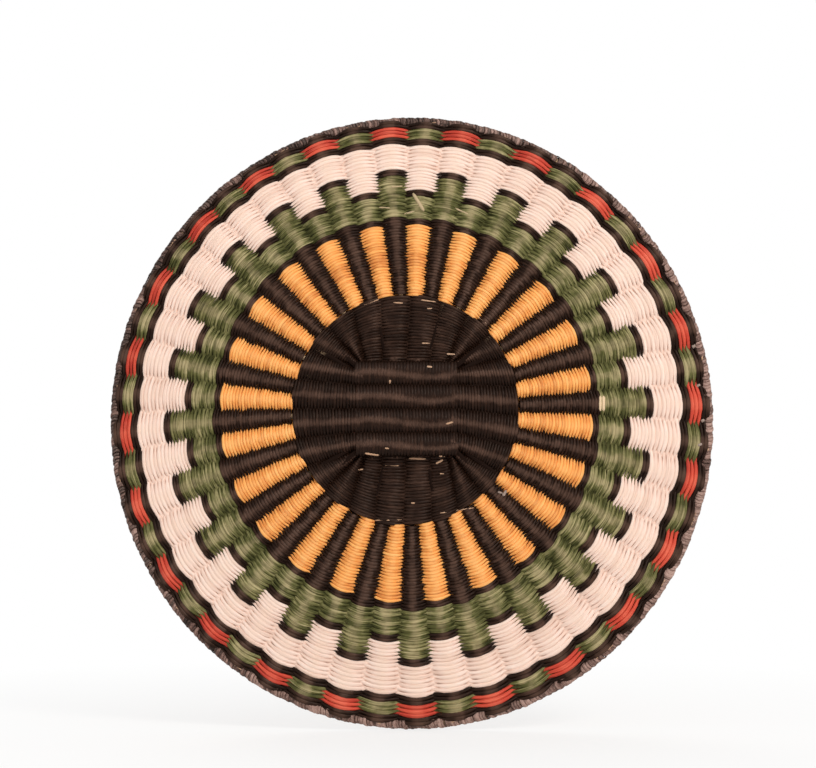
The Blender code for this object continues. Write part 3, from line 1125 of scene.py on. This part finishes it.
@dataclass(frozen=True)
class CentreWeave(Weave):
    """The black rows round the twenty-four ribs, between the crossed mats and the ring weave."""

    lay: Lay = Lay(lift=0.00225, crossing_softness=0.7, crest_softness=1.5, slip=0.15, wander_swings=5.0)
    half_size: float = 0.0250
    corner_power: float = 8.0
    corner_crest: float = 0.78
    side_sharpness: float = 3.0
    spread: float = math.radians(12.2)
    swing: float = math.radians(-1.05)
    spokes_to_first_rib: float = 1.5
    rows: int = 20
    tucked_rows: int = 2
    crossing: float = 0.40
    first_seed: float = 900.0
    seed_step: float = 40.0

    def tree(self) -> StrandTree:
        """Make the tree of rows that start square and end round.

        Returns:
            The tree.
        """
        tree = StrandTree("centre_rows")
        [rows] = tree.named("Rows", kind="Int")
        odd, lift, thickness, seed = tree.named("Odd Ribs", "Lift", "Thickness", "Seed")
        along, around, row = tree.strands(rows, self.points, self.sides)
        strand = Strand(along, around, row + seed)
        wander = self.wander(strand)
        rib = along / (2.0 * self.plan.step) + self.slip(strand)
        wave = ((rib - odd) * math.pi).cos()
        half_width = self.lay.half_width(strand, abs(wave), BLACK_TWIG.closeness, self.crossing)
        place = row - float(self.tucked_rows) + odd * 0.5 + 0.25 + wander + around.cos() * half_width
        share = place / float(self.rows)
        turned = along + self.plan.step
        square = turned + self.spread * (turned * 4.0).sin()
        power = self.corner_power
        reach = self.half_size / (abs(square.cos()) ** power + abs(square.sin()) ** power) ** (1.0 / power)
        start_x = self.plan.centre_x + self.plan.mat_x + reach * square.cos()
        start_z = self.plan.mat_z + reach * square.sin()
        facing = (self.side_sharpness * (square * 2.0).cos()).clamp(-1.0, 1.0)
        level = facing / 2.0 + 0.5
        # Painted highlight and shade: the crest value follows the wave on the side ridges and stays even at
        # the top and bottom, where the ribs run.
        crest = wave * wave * level + (1.0 - level) * self.corner_crest
        tree.tell_twigs(strand, seed, crest)
        first_rib = self.plan.first_spoke + self.spokes_to_first_rib * self.plan.step
        angle = along + first_rib + self.swing * (along.cos() + 1.0)
        end_x, _, end_z = self.plan.place(self.plan.centre_radius, angle, 0.0)
        height = self.lay.height(strand, lift)
        depth = 0.0 - height * wave.squared_off(self.lay.crest_softness) - self.lay.face(around, thickness)
        descent = (1.0 - share) * (1.0 - share) * (share * 2.0 + 1.0)
        position = combine(
            start_x + (end_x - start_x) * share,
            self.plan.centre_y + depth - self.plan.mat_depth * facing * descent,
            start_z + (end_z - start_z) * share,
        )
        tree.finish(position)
        return tree

    def pieces(self) -> list[Rows]:
        """List the rows over the even and over the odd ribs.

        Returns:
            The two pieces.
        """
        pieces = []
        for ribs, node in ((Spokes.EVEN, "centre_weft_inner"), (Spokes.ODD, "centre_weft_outer")):
            sizes = {
                "Rows": self.rows + self.tucked_rows,
                "Odd Ribs": float(ribs.value),
                "Seed": self.first_seed + self.seed_step * ribs.value,
            }
            pieces.append(Rows("centre_rows_" + ribs.name.lower(), node, BLACK_TWIG, sizes))
        return pieces


@dataclass(frozen=True)
class BoundMats(Weave):
    """The black binding of the two crossed mats: each strand weaves across four bundles and back again."""

    lay: Lay = Lay(lift=0.00225, crossing_softness=0.7, wander_swings=3.0)
    bundle_pitch: float = 0.0120
    bundles: int = 4
    half_length: float = 0.0254
    rows: int = 32
    tip_share: float = 0.999
    turn_sharpness: float = 3.0
    closeness: float = 0.74
    crossing: float = 0.40
    # Painted highlight: how far the crest value is slid off the ridges' tops, and how that changes along the
    # mat.
    highlight_shift: float = 0.25
    highlight_sag: float = 0.9
    first_seed: float = 1200.0
    seed_step: float = 50.0
    points: int = 96

    def tree(self) -> StrandTree:
        """Make the tree of strands that bind a mat.

        Returns:
            The tree.
        """
        tree = StrandTree("mat_binding")
        [rows] = tree.named("Rows", kind="Int")
        upright, lift, thickness, seed = tree.named("Upright", "Lift", "Thickness", "Seed")
        along, around, row = tree.strands(rows, self.points, self.sides)
        strand = Strand(along, around, row + seed)
        passes = along * (self.bundles / math.pi)
        wave_turn = (passes - 0.5) * math.pi
        wave = wave_turn.cos()
        lengthways = (row + 0.5) * (2.0 / self.rows) - 1.0
        direction = (self.turn_sharpness * along.sin()).clamp(-1.0, 1.0)
        # Painted highlight: the crest value is slid off each ridge's top, more towards the right and not at
        # the mat's ends, so the finish's highlight sits where light from above would put it.
        highlight_offset = (lengthways * self.highlight_sag + self.highlight_shift) * (lengthways * lengthways - 1.0)
        rubbed_and_highlight = abs((wave_turn - direction * highlight_offset).cos())
        tree.tell_twigs(strand, seed, rubbed_and_highlight * rubbed_and_highlight)
        swing = (passes - self.bundles / 2.0) * (math.pi / self.bundles)
        reach = self.bundle_pitch * self.bundles / math.pi
        leaning = swing.sin() * self.tip_share
        across = leaning.arcsin() * reach
        softness = self.lay.crest_softness
        height = self.lay.height(strand, lift)
        depth = height * wave.squared_off(softness)
        steepness = math.sqrt(1 + softness**2) * softness**2
        rise = height * steepness * wave_turn.sin() / (wave * wave + softness**2) ** 1.5 * math.pi
        lean_cosine = (1.0 - leaning * leaning) ** 0.5
        run = swing.cos() * reach * (self.tip_share * math.pi / self.bundles) / lean_cosine
        length = (rise * rise + run * run) ** 0.5
        out = self.lay.face(around, thickness)
        pitch = 2.0 * self.half_length / self.rows
        wander = self.wander(strand)
        half_width = self.lay.half_width(strand, abs(wave), self.closeness, self.crossing)
        level = (row + 0.5 + direction / 4.0 + wander + around.cos() * half_width) * pitch - self.half_length
        spread = across + out * rise / length
        fall = depth + out * run / length
        side = 2.0 * upright - 1.0
        position = combine(
            self.plan.centre_x + self.plan.mat_x + level + upright * (spread - level),
            self.plan.centre_y + side * (self.plan.mat_depth + fall),
            self.plan.mat_z + spread + upright * (level - spread),
        )
        tree.finish(position)
        return tree

    def pieces(self) -> list[Rows]:
        """List the binding of the front mat and of the back mat.

        Returns:
            The two pieces.
        """
        pieces = []
        for side, upright in (("front", 0.0), ("back", 1.0)):
            seed = self.first_seed + self.seed_step * upright
            sizes = {"Rows": self.rows, "Upright": upright, "Seed": seed}
            pieces.append(Rows(side + "_mat_rows", side + "_mat_binding", BLACK_TWIG, sizes))
        return pieces


@dataclass(frozen=True)
class WrappedRim:
    """The leaf strip wound round and round the rim's bundle."""

    plan: Plan = Plan()
    core_radius: float = 0.1500
    tube_radius: float = 0.00185
    girth_change: float = 0.45
    strip_thickness: float = 0.00055
    strip_half_width: float = 0.00092
    least_width: float = 0.85
    width_change: float = 0.4
    slant: float = 1.0
    slant_change: float = 0.9
    start_wind: float = 0.25
    grain_round: float = 1.5
    grain_across: float = 2.0
    strip_gap: float = 3.7
    region_swings: float = 16.0
    strip_variety: float = 0.7
    region_variety: float = 1.5
    # Painted light: how much paler the strip is painted on one side, and at what angle that side lies.
    painted_light_side: float = 0.30
    painted_light_side_angle: float = -0.6
    darkening: float = 0.70
    seed: float = 7.0
    winds: int = 600
    points_a_wind: int = 12
    sides: int = 6

    def tree(self) -> StrandTree:
        """Make the tree of one closed strip wound round the rim.

        Returns:
            The tree.
        """
        tree = StrandTree("rim_wrapping")
        [one] = tree.named("Strips", kind="Int")
        core, tube = tree.named("Core Radius", "Tube Radius")
        thickness, half_width, seed = tree.named("Strip Thickness", "Strip Half Width", "Seed")
        along, around, _ = tree.strands(one, self.winds * self.points_a_wind, self.sides)
        wound = along * float(self.winds)
        number = (wound / math.tau - self.start_wind).floor() % float(self.winds)
        swings = self.region_swings
        place = combine(along.cos() * swings, along.sin() * swings, 0.0)
        region = noise(place, 0.3, scale=1.0, detail=2.0)
        turns, across = self.grain_round, self.grain_across
        grain = combine(wound.cos() * turns, wound.sin() * turns, around.cos() * across)
        tone = tree.random(number, seed) * self.strip_variety + region * self.region_variety
        # Painted light and shade: the strip's tone is raised towards the lower right and lowered on the left.
        tone = tone + (along - self.painted_light_side_angle).cos() * self.painted_light_side - self.darkening
        strand = around.sin() * across + number * self.strip_gap
        tree.tell(grain, strand, tone.clamp(0.0, 1.0), abs(around.sin()))
        bulge = tree.random(number, seed + 2.0) - 0.5
        girth = tube * (1.0 + (region - 0.5) * self.girth_change) + (bulge + around.sin() / 2.0) * thickness
        width = half_width * (self.least_width + self.width_change * tree.random(number, seed + 3.0))
        slant = self.slant + (tree.random(number, seed + 4.0) - 0.5) * self.slant_change
        angle = along + (around.cos() * width + slant * half_width * wound.sin()) / core
        radius = core + girth * wound.cos()
        tree.finish(combine(*self.plan.place(radius, angle, girth * wound.sin())))
        return tree

    def build(self) -> list[bpy.types.Object]:
        """Make the wound strip.

        Returns:
            The strip, alone in a list.
        """
        sizes = {
            "Core Radius": self.core_radius,
            "Tube Radius": self.tube_radius,
            "Strip Thickness": self.strip_thickness,
            "Strip Half Width": self.strip_half_width,
            "Seed": self.seed,
            "Strips": 1,
        }
        strip = self.tree().make("rim_strip", LEAF_STRIP, sizes)
        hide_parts("rim_wrap")
        return [strip]


@dataclass(frozen=True)
class Ends:
    """A scatter of short twig ends or bits of a twig, all of one finish."""

    name: str
    finish: TwigFinish
    inner: float
    outer: float
    count: int
    spokes: Spokes
    facing: float = 1.0
    depth: float = 0.0027
    length: float = 0.0045
    half_width: float = 0.0005
    rise: float = 0.0014


@dataclass(frozen=True)
class TwigEnds:
    """The trimmed ends that stand out behind, and the bits of the bundle that show inside the rim."""

    plan: Plan = Plan()
    sides: int = 6
    spokes_missed: float = 0.6
    foot_share: float = 0.3
    least_length: float = 0.7
    length_change: float = 0.6
    slant_change: float = 0.5
    grain_along: float = 2.0
    stub_gap: float = 3.1
    first_seed: float = 2000.0
    seed_step: float = 20.0

    def scatters(self) -> list[Ends]:
        """List the scatters.

        Returns:
            The scatters.
        """
        even, odd = Spokes.EVEN, Spokes.ODD
        stripes, field, white = Ring.STRIPES.outer, Ring.FIELD.outer, Ring.WHITE.outer
        inner, edge = self.plan.centre_radius, Ring.DASHES.outer
        return [
            Ends("orange_twig_ends", ORANGE_TWIG, inner, stripes, 26, odd),
            Ends("black_twig_ends", BLACK_TWIG, inner, stripes, 26, even),
            Ends("green_twig_ends", GREEN_TWIG, Ring.LINE.outer, field, 24, odd),
            Ends("white_twig_ends", WHITE_TWIG, Ring.HIGH_STEP.outer, white, 34, odd),
            Ends("red_twig_ends", RED_TWIG, Ring.BORDER.outer, edge, 16, even),
            Ends("rim_bits", TAN_TWIG, 0.1496, 0.1502, 44, even, -1.0, 0.0021, 0.0014, 0.0003, 0.0002),
        ]

    def tree(self) -> StrandTree:
        """Make the tree of scattered stubs.

        Returns:
            The tree.
        """
        tree = StrandTree("twig_ends")
        [count] = tree.named("Count", kind="Int")
        inner, outer, odd, facing = tree.named("Inner Radius", "Outer Radius", "Odd Spokes", "Facing")
        depth, length, half_width, rise, seed = tree.named("Depth", "Length", "Half Width", "Rise", "Seed")
        share, sideways, outward, number = tree.stubs(count, self.sides)
        grain = combine(share * self.grain_along, sideways, outward)
        tree.tell(grain, number * self.stub_gap, tree.random(number, seed), share)
        spoke = (tree.random(number, seed + 1.0) * (self.plan.spokes / 2)).floor() * 2.0 + odd
        off_spoke = (tree.random(number, seed + 2.0) - 0.5) * self.spokes_missed
        angle = self.plan.first_spoke + (spoke + off_spoke) * self.plan.step
        radius = inner + (outer - inner) * tree.random(number, seed + 3.0)
        turn = (tree.random(number, seed + 4.0) * 2.0).floor() * 2.0 - 1.0
        size = tree.random(number, seed + 5.0) * self.length_change + self.least_length
        reach = (share - self.foot_share) * length * size * turn
        slant = (tree.random(number, seed + 6.0) - 0.5) * self.slant_change
        stands = depth + (share - self.foot_share) * rise + outward * half_width
        position = self.plan.place(
            radius + reach * slant + sideways * half_width * turn, angle + reach / radius, facing * stands
        )
        tree.finish(combine(*position))
        return tree

    def build(self) -> None:
        """Make every scatter."""
        tree = self.tree()
        for number, ends in enumerate(self.scatters()):
            sizes = {
                "Inner Radius": ends.inner,
                "Outer Radius": ends.outer,
                "Count": ends.count,
                "Odd Spokes": float(ends.spokes.value),
                "Facing": ends.facing,
                "Depth": ends.depth,
                "Length": ends.length,
                "Half Width": ends.half_width,
                "Rise": ends.rise,
                "Seed": self.first_seed + self.seed_step * number,
            }
            tree.make(ends.name, ends.finish, sizes)


@dataclass(frozen=True)
class Sprig:
    """One loose bit of twig on the face, from end to end, in millimetres from the plaque's middle."""

    start_x: float
    start_z: float
    end_x: float
    end_z: float
    half_width: float

    def point(self, share: float) -> Vector:
        """Return the point at a share of its length, in metres from the middle."""
        start = Vector((self.start_x, 0.0, self.start_z))
        return start.lerp(Vector((self.end_x, 0.0, self.end_z)), share) / 1000.0


def sprigs(*rows: tuple[float, float, float, float, float]) -> tuple[Sprig, ...]:
    """Make sprigs of rows of numbers."""
    return tuple(Sprig(*row) for row in rows)


TAN_SPRIGS = sprigs(
    (-24.0, 59.2, -16.5, 62.2, 0.35), (4.5, 61.8, 12.0, 60.8, 0.35), (33.5, 53.2, 37.5, 49.8, 0.35),
    (-19.0, -48.5, -5.0, -48.2, 0.3), (14.0, -44.8, 31.0, -42.2, 0.35), (-23.5, -14.8, -16.5, -15.8, 0.6),
    (-14.0, -21.2, -6.5, -21.2, 0.5), (-1.5, -17.5, 7.0, -17.8, 0.55), (12.0, -20.2, 15.5, -18.2, 0.6),
    (13.5, -16.2, 16.5, -16.5, 0.4), (-13.5, -12.2, -11.5, -12.5, 0.45), (-27.0, -23.2, -24.5, -23.0, 0.4),
    (14.0, -25.2, 16.0, -25.2, 0.4), (5.0, 40.2, 10.0, 40.2, 0.45), (17.5, 34.8, 21.5, 34.5, 0.5),
    (7.5, 28.5, 10.0, 28.2, 0.5), (-11.0, 21.8, -11.0, 19.8, 0.6), (17.0, -0.2, 20.5, 0.8, 0.5),
    (-9.5, 60.5, -4.5, 60.2, 0.4), (7.5, 57.5, 10.0, 57.5, 0.35), (-0.5, -39.8, 1.5, -39.8, 0.4),
)
STRAW_SPRIGS = sprigs(
    (0.5, 115.2, 6.0, 106.2, 0.9), (-10.5, 118.2, -4.5, 118.8, 0.4), (-16.5, 108.2, -11.0, 107.8, 0.4),
    (-4.0, 104.8, 1.5, 106.2, 0.5), (21.5, 107.8, 28.0, 104.8, 0.45),
)
BARE_SPRIGS = sprigs(
    (94.2, 13.8, 94.2, 6.2, 0.8), (95.8, 13.8, 95.8, 6.2, 0.8),
)
# Small pale grey marks: four on the black edge at the right, and two below and right of the middle.
GREY_SPRIGS = sprigs(
    (140.2, 38.2, 141.9, 39.2, 1.0), (142.6, 18.6, 144.3, 19.4, 0.8), (144.7, 1.0, 146.3, 1.9, 0.9),
    (143.1, -11.0, 145.0, -10.1, 0.8), (43.0, -34.2, 45.5, -35.2, 0.6), (45.5, -36.2, 47.5, -33.2, 0.8),
)


@dataclass(frozen=True)
class LooseTwigs:
    """The loose bits of twig that lie on the face, each laid on the rows below it."""

    plan: Plan = Plan()
    shares: tuple[float, ...] = (0.0, 0.12, 0.5, 0.88, 1.0)
    girths: tuple[float, ...] = (0.45, 1.0, 1.0, 0.9, 0.4)
    sides: int = 6
    height_share: float = 0.6
    tone: float = 0.5
    crest: float = 0.8

    def surface(self, place: Vector, below: list[bpy.types.Object]) -> float:
        """Find how far forward the rows reach at a place on the face.

        Args:
            place: the place.
            below: the pieces that may lie there.

        Returns:
            The surface's place on the Y axis.
        """
        start = Vector((place.x, -0.5, place.z))
        hits = [piece.ray_cast(start, Vector((0.0, 1.0, 0.0))) for piece in below]
        return min((spot.y for found, spot, _, _ in hits if found), default=self.plan.centre_y)

    def lay(self, mesh: bmesh.types.BMesh, sprig: Sprig, below: list[bpy.types.Object]) -> None:
        """Add one bit of twig.

        Args:
            mesh: the mesh to add it to.
            sprig: the bit of twig.
            below: the pieces that may lie under it.
        """
        middle = Vector((self.plan.centre_x, 0.0, 0.0))
        run = (sprig.point(1.0) - sprig.point(0.0)).normalized()
        across = Vector((-run.z, 0.0, run.x))
        rings = []
        for share, girth in zip(self.shares, self.girths):
            place = middle + sprig.point(share)
            place.y = self.surface(place, below)
            size = sprig.half_width / 1000.0 * girth
            ring = []
            for side in range(self.sides):
                turn = math.tau * side / self.sides
                up = Vector((0.0, -self.height_share * size * math.sin(turn), 0.0))
                ring.append(mesh.verts.new(place + across * size * math.cos(turn) + up))
            rings.append(ring)
        for ring, following in zip(rings, rings[1:]):
            for side in range(self.sides):
                ahead = (side + 1) % self.sides
                mesh.faces.new((ring[side], ring[ahead], following[ahead], following[side]))
        mesh.faces.new(rings[0][::-1])
        mesh.faces.new(rings[-1])

    def build(self, below: list[bpy.types.Object]) -> None:
        """Make the loose twigs.

        Args:
            below: the pieces that they lie on.
        """
        graph = bpy.context.evaluated_depsgraph_get()
        ready = [piece.evaluated_get(graph) for piece in below]
        for name, finish, bits in (
            ("loose_tan_twigs", TAN_TWIG, TAN_SPRIGS),
            ("loose_straw_twigs", STRAW_TWIG, STRAW_SPRIGS),
            ("loose_cream_twigs", BARE_TWIG, BARE_SPRIGS),
            ("loose_pale_grey_marks", PALE_GREY_FINISH, GREY_SPRIGS),
        ):
            shell = bmesh.new()
            for sprig in bits:
                self.lay(shell, sprig, ready)
            mesh = bpy.data.meshes.new(name)
            shell.to_mesh(mesh)
            shell.free()
            face_outward(mesh)
            mesh.shade_smooth()
            for attribute, value in (("tone", self.tone), ("crest", self.crest)):
                layer = mesh.attributes.new(attribute, "FLOAT", "POINT")
                layer.data.foreach_set("value", [value] * len(mesh.vertices))
            mesh.materials.append(finish.material())
            add_piece(name, mesh)


@dataclass(frozen=True)
class Studio:
    """Camera, lamps, floor and background."""

    view_x: float = -0.0052
    view_z: float = 0.01975
    distance: float = 1.6
    view_width: float = 0.408
    floor_drop: float = 0.0004
    world_strength: float = 0.50
    near_white: float = 0.72
    shadow_reach: float = 0.08
    shadow_fade: float = 1.2
    face_y: float = -0.009
    floor_half: float = 6.0

    def build(self, lowest: float) -> None:
        """Set the scene round the plaque.

        Args:
            lowest: the height of the plaque's lowest point.
        """
        self.camera()
        self.floor(lowest - self.floor_drop)
        self.world()
        self.lamp("key", Vector((0.80, -1.30, 0.95)), 0.55, 16.0, (1.0, 0.955, 0.90))
        self.lamp("fill", Vector((-0.95, -1.35, 0.35)), 1.0, 2.0, (1.0, 0.975, 0.95))
        self.lamp("back", Vector((-0.55, 1.15, 0.75)), 1.0, 8.0, (1.0, 0.98, 0.96))
        bpy.context.scene.view_settings.view_transform = "Standard"

    def camera(self) -> None:
        """Look at the face straight on, through a long lens."""
        data = bpy.data.cameras.new("photo_view")
        data.sensor_width = 36.0
        data.lens = data.sensor_width * self.distance / self.view_width
        data.clip_end = 50.0
        camera = bpy.data.objects.new("photo_view", data)
        camera.location = (self.view_x, self.face_y - self.distance, self.view_z)
        camera.rotation_euler = (math.pi / 2, 0.0, 0.0)
        bpy.context.scene.collection.objects.link(camera)
        bpy.context.scene.camera = camera

    def lamp(self, name: str, place: Vector, size: float, power: float, colour: Colour) -> None:
        """Add a soft lamp that faces the plaque.

        Args:
            name: the lamp's name.
            place: where it stands.
            size: its side.
            power: its power in watts.
            colour: its colour.
        """
        data = bpy.data.lights.new(name, "AREA")
        data.size = size
        data.energy = power
        data.color = colour
        lamp = bpy.data.objects.new(name, data)
        lamp.location = place
        lamp.rotation_euler = (-place).to_track_quat("-Z", "Y").to_euler()
        bpy.context.scene.collection.objects.link(lamp)

    def seen_plainly(self, tree: bpy.types.NodeTree) -> Field:
        """Return 1 for what the camera, a reflection or glass sees, and 0 for light.

        Args:
            tree: the tree to work in.

        Returns:
            The factor.
        """
        path = tree.nodes.new("ShaderNodeLightPath")
        kinds = ("Is Camera Ray", "Is Glossy Ray", "Is Transmission Ray")
        camera, glossy, glass = (Field(tree, path.outputs[kind]) for kind in kinds)
        return (camera + glossy + glass).clamp(0.0, 1.0)

    def distance_from_middle(self, tree: bpy.types.NodeTree, place: bpy.types.NodeSocket) -> Field:
        """Return how far a point of the floor lies from the middle of its plane.

        Args:
            tree: the tree to work in.
            place: the point on the floor.

        Returns:
            The distance.
        """
        parts = tree.nodes.new("ShaderNodeSeparateXYZ")
        tree.links.new(place, parts.inputs[0])
        x, y = (Field(tree, output) for output in parts.outputs[:2])
        return (x * x + y * y) ** 0.5

    def floor(self, height: float) -> None:
        """Lay a plain pale floor that keeps the plaque's shadow.

        Args:
            height: the floor's height.
        """
        mesh = bpy.data.meshes.new("floor")
        half = self.floor_half
        corners = [(-half, -half, height), (half, -half, height), (half, half, height), (-half, half, height)]
        mesh.from_pydata(corners, [], [(0, 1, 2, 3)])
        floor = bpy.data.objects.new("floor", mesh)
        bpy.context.scene.collection.objects.link(floor)
        floor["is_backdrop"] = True
        material = bpy.data.materials.new("pale_floor")
        material.use_nodes = True
        tree = material.node_tree
        shader = tree.nodes["Principled BSDF"]
        shader.inputs["Base Color"].default_value = (0.93, 0.92, 0.91, 1.0)
        shader.inputs["Roughness"].default_value = 0.9
        shader.inputs["Specular IOR Level"].default_value = 0.1
        glow = tree.nodes.new("ShaderNodeEmission")
        glow.inputs["Color"].default_value = (1.0, 1.0, 1.0, 1.0)
        glow.inputs["Strength"].default_value = 1.0
        place = tree.nodes.new("ShaderNodeTexCoord")
        far = self.distance_from_middle(tree, place.outputs["Object"])
        fade = (far - self.shadow_reach) / self.shadow_fade + self.near_white
        whiteness = fade.clamp(self.near_white, 1.0)
        mix = tree.nodes.new("ShaderNodeMixShader")
        connect(self.seen_plainly(tree) * whiteness, mix.inputs[0])
        tree.links.new(shader.outputs[0], mix.inputs[1])
        tree.links.new(glow.outputs[0], mix.inputs[2])
        tree.links.new(mix.outputs[0], tree.nodes["Material Output"].inputs["Surface"])
        mesh.materials.append(material)

    def world(self) -> None:
        """Give a white background and an even soft light."""
        world = bpy.data.worlds.new("studio")
        bpy.context.scene.world = world
        world.use_nodes = True
        tree = world.node_tree
        light = tree.nodes["Background"]
        light.inputs["Color"].default_value = (1.0, 0.985, 0.965, 1.0)
        light.inputs["Strength"].default_value = self.world_strength
        plain = tree.nodes.new("ShaderNodeBackground")
        plain.inputs["Color"].default_value = (1.0, 1.0, 1.0, 1.0)
        plain.inputs["Strength"].default_value = 1.0
        mix = tree.nodes.new("ShaderNodeMixShader")
        connect(self.seen_plainly(tree), mix.inputs[0])
        tree.links.new(light.outputs[0], mix.inputs[1])
        tree.links.new(plain.outputs[0], mix.inputs[2])
        tree.links.new(mix.outputs[0], tree.nodes["World Output"].inputs["Surface"])


def dress_rods(nodes: dict[str, bpy.types.Object]) -> None:
    """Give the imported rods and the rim's bundle their willow.

    Args:
        nodes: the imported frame's objects by name.
    """
    willow = PEELED_WILLOW.material()
    for name, rod in nodes.items():
        if "rod" in name or name == "rim_bundle":
            for place in rod.material_slots:
                place.material = willow


def main() -> None:
    """Build the plaque's look piece by piece."""
    logging.basicConfig(level=logging.INFO, format="%(message)s")
    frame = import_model()
    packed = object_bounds()
    Studio().build(packed[0][2])
    dress_rods(frame["nodes"])
    rows = BoundMats().build() + CentreWeave().build() + RingWeave().build() + WrappedRim().build()
    TwigEnds().build()
    LooseTwigs().build(rows)


if __name__ == "__main__":
    main()
